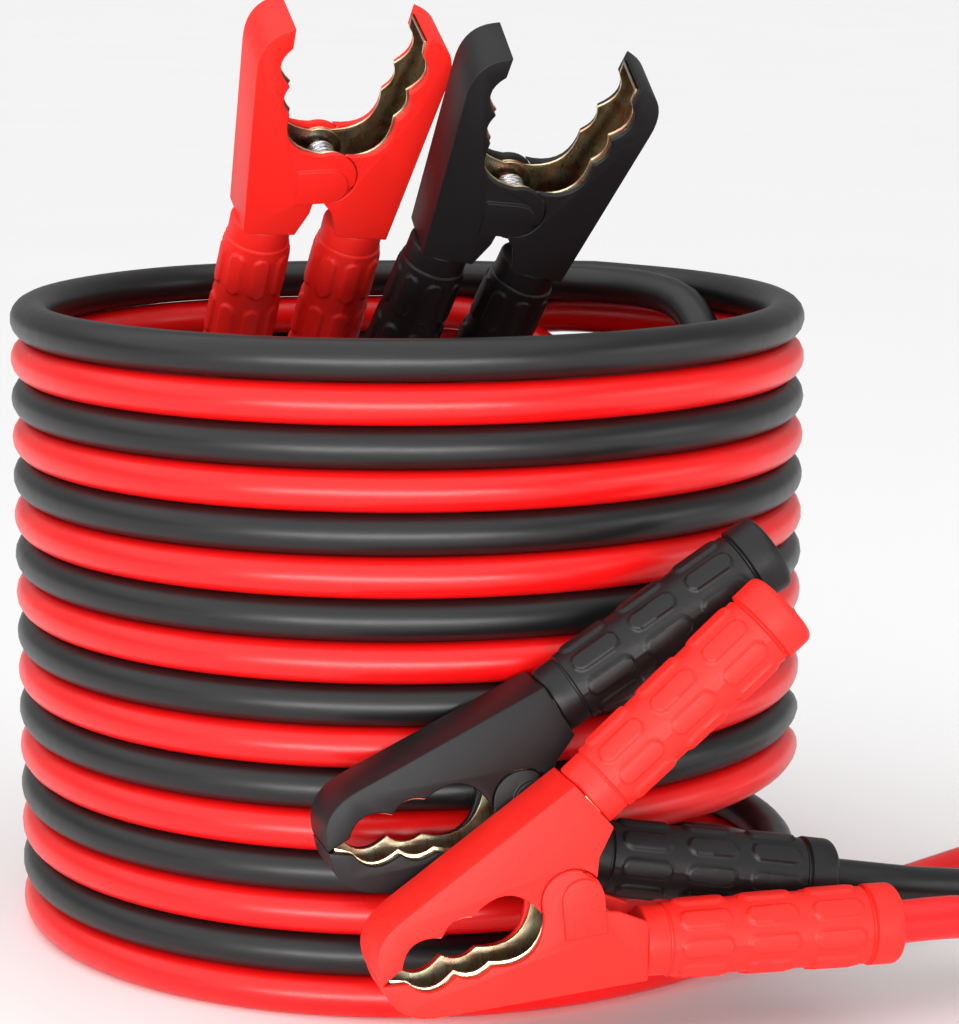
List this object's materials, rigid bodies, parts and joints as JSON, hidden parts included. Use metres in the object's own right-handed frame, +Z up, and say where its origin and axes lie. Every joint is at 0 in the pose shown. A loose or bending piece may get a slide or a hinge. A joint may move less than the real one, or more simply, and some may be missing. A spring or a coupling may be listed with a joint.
{
  "type": "car jumper cable set",
  "caption": "Heavy red and black car jumper cables wound into one upright coil, with insulated spring clamps: a pair open at the top, a pair closed in front.",
  "frame": {"origin": "on the floor, midway across the coil and its clamps", "axes": "+Z up along the coil axis, -Y towards the side where the closed clamps lie, +X to the right seen from there"},
  "size_m": [0.5686, 0.3748, 0.3607],
  "materials": {
    "red_cable": "glossy red cable jacket",
    "black_cable": "semi-gloss black cable jacket",
    "red_moulding": "fine satin red moulding",
    "black_moulding": "fine satin black moulding",
    "red_grip": "satin red rubber",
    "black_grip": "satin black rubber",
    "plated_steel": "yellow zinc plating with a faint rainbow tint",
    "bright_steel": "bright zinc plating"
  },
  "bodies": {
    "cables_and_lower_halves": {"red_coil_turn_1": "red_cable", "black_coil_turn_1": "black_cable", "red_coil_turn_2": "red_cable", "black_coil_turn_2": "black_cable", "red_coil_turn_3": "red_cable", "black_coil_turn_3": "black_cable", "red_coil_turn_4": "red_cable", "black_coil_turn_4": "black_cable", "red_coil_turn_5": "red_cable", "black_coil_turn_5": "black_cable", "red_coil_turn_6": "red_cable", "black_coil_turn_6": "black_cable", "red_coil_turn_7": "red_cable", "black_coil_turn_7": "black_cable", "red_coil_turn_8": "red_cable", "black_coil_turn_8": "black_cable", "red_tail": "red_cable", "black_tail": "black_cable", "red_lead": "red_cable", "black_lead": "black_cable", "red_front_lower_arm": "red_moulding", "red_front_lower_jaw": "plated_steel", "red_front_lower_grip": "red_grip", "red_front_spring": "bright_steel", "red_front_pivot_pin": "bright_steel", "red_top_lower_arm": "red_moulding", "red_top_lower_jaw": "plated_steel", "red_top_lower_grip": "red_grip", "red_top_spring": "bright_steel", "red_top_pivot_pin": "bright_steel", "black_front_lower_arm": "black_moulding", "black_front_lower_jaw": "plated_steel", "black_front_lower_grip": "black_grip", "black_front_spring": "bright_steel", "black_front_pivot_pin": "bright_steel", "black_top_lower_arm": "black_moulding", "black_top_lower_jaw": "plated_steel", "black_top_lower_grip": "black_grip", "black_top_spring": "bright_steel", "black_top_pivot_pin": "bright_steel"},
    "red_front_upper_half": {"red_front_upper_arm": "red_moulding", "red_front_upper_jaw": "plated_steel", "red_front_upper_grip": "red_grip"},
    "red_top_upper_half": {"red_top_upper_arm": "red_moulding", "red_top_upper_jaw": "plated_steel", "red_top_upper_grip": "red_grip"},
    "black_front_upper_half": {"black_front_upper_arm": "black_moulding", "black_front_upper_jaw": "plated_steel", "black_front_upper_grip": "black_grip"},
    "black_top_upper_half": {"black_top_upper_arm": "black_moulding", "black_top_upper_jaw": "plated_steel", "black_top_upper_grip": "black_grip"}
  },
  "joints": [
    {"name": "red_front_hinge", "type": "hinge", "parent": "cables_and_lower_halves", "child": "red_front_upper_half", "pos_m": [0.04494, -0.1572, 0.06], "axis": [-0.2588, 0.9659, 0], "range_deg": [0, 44], "stiffness_Nm_per_rad": 1.5},
    {"name": "red_top_hinge", "type": "hinge", "parent": "cables_and_lower_halves", "child": "red_top_upper_half", "pos_m": [-0.04537, 0.0492, 0.295], "axis": [-0.2633, 0.8295, 0.4926], "range_deg": [-44, 2]},
    {"name": "black_front_hinge", "type": "hinge", "parent": "cables_and_lower_halves", "child": "black_front_upper_half", "pos_m": [0.02874, -0.131, 0.088], "axis": [-0.2588, 0.9659, 0], "range_deg": [0, 44], "stiffness_Nm_per_rad": 1.5},
    {"name": "black_top_hinge", "type": "hinge", "parent": "cables_and_lower_halves", "child": "black_top_upper_half", "pos_m": [0.02864, 0.0352, 0.283], "axis": [-0.1903, 0.8413, 0.506], "range_deg": [-44, 2]}
  ]
}
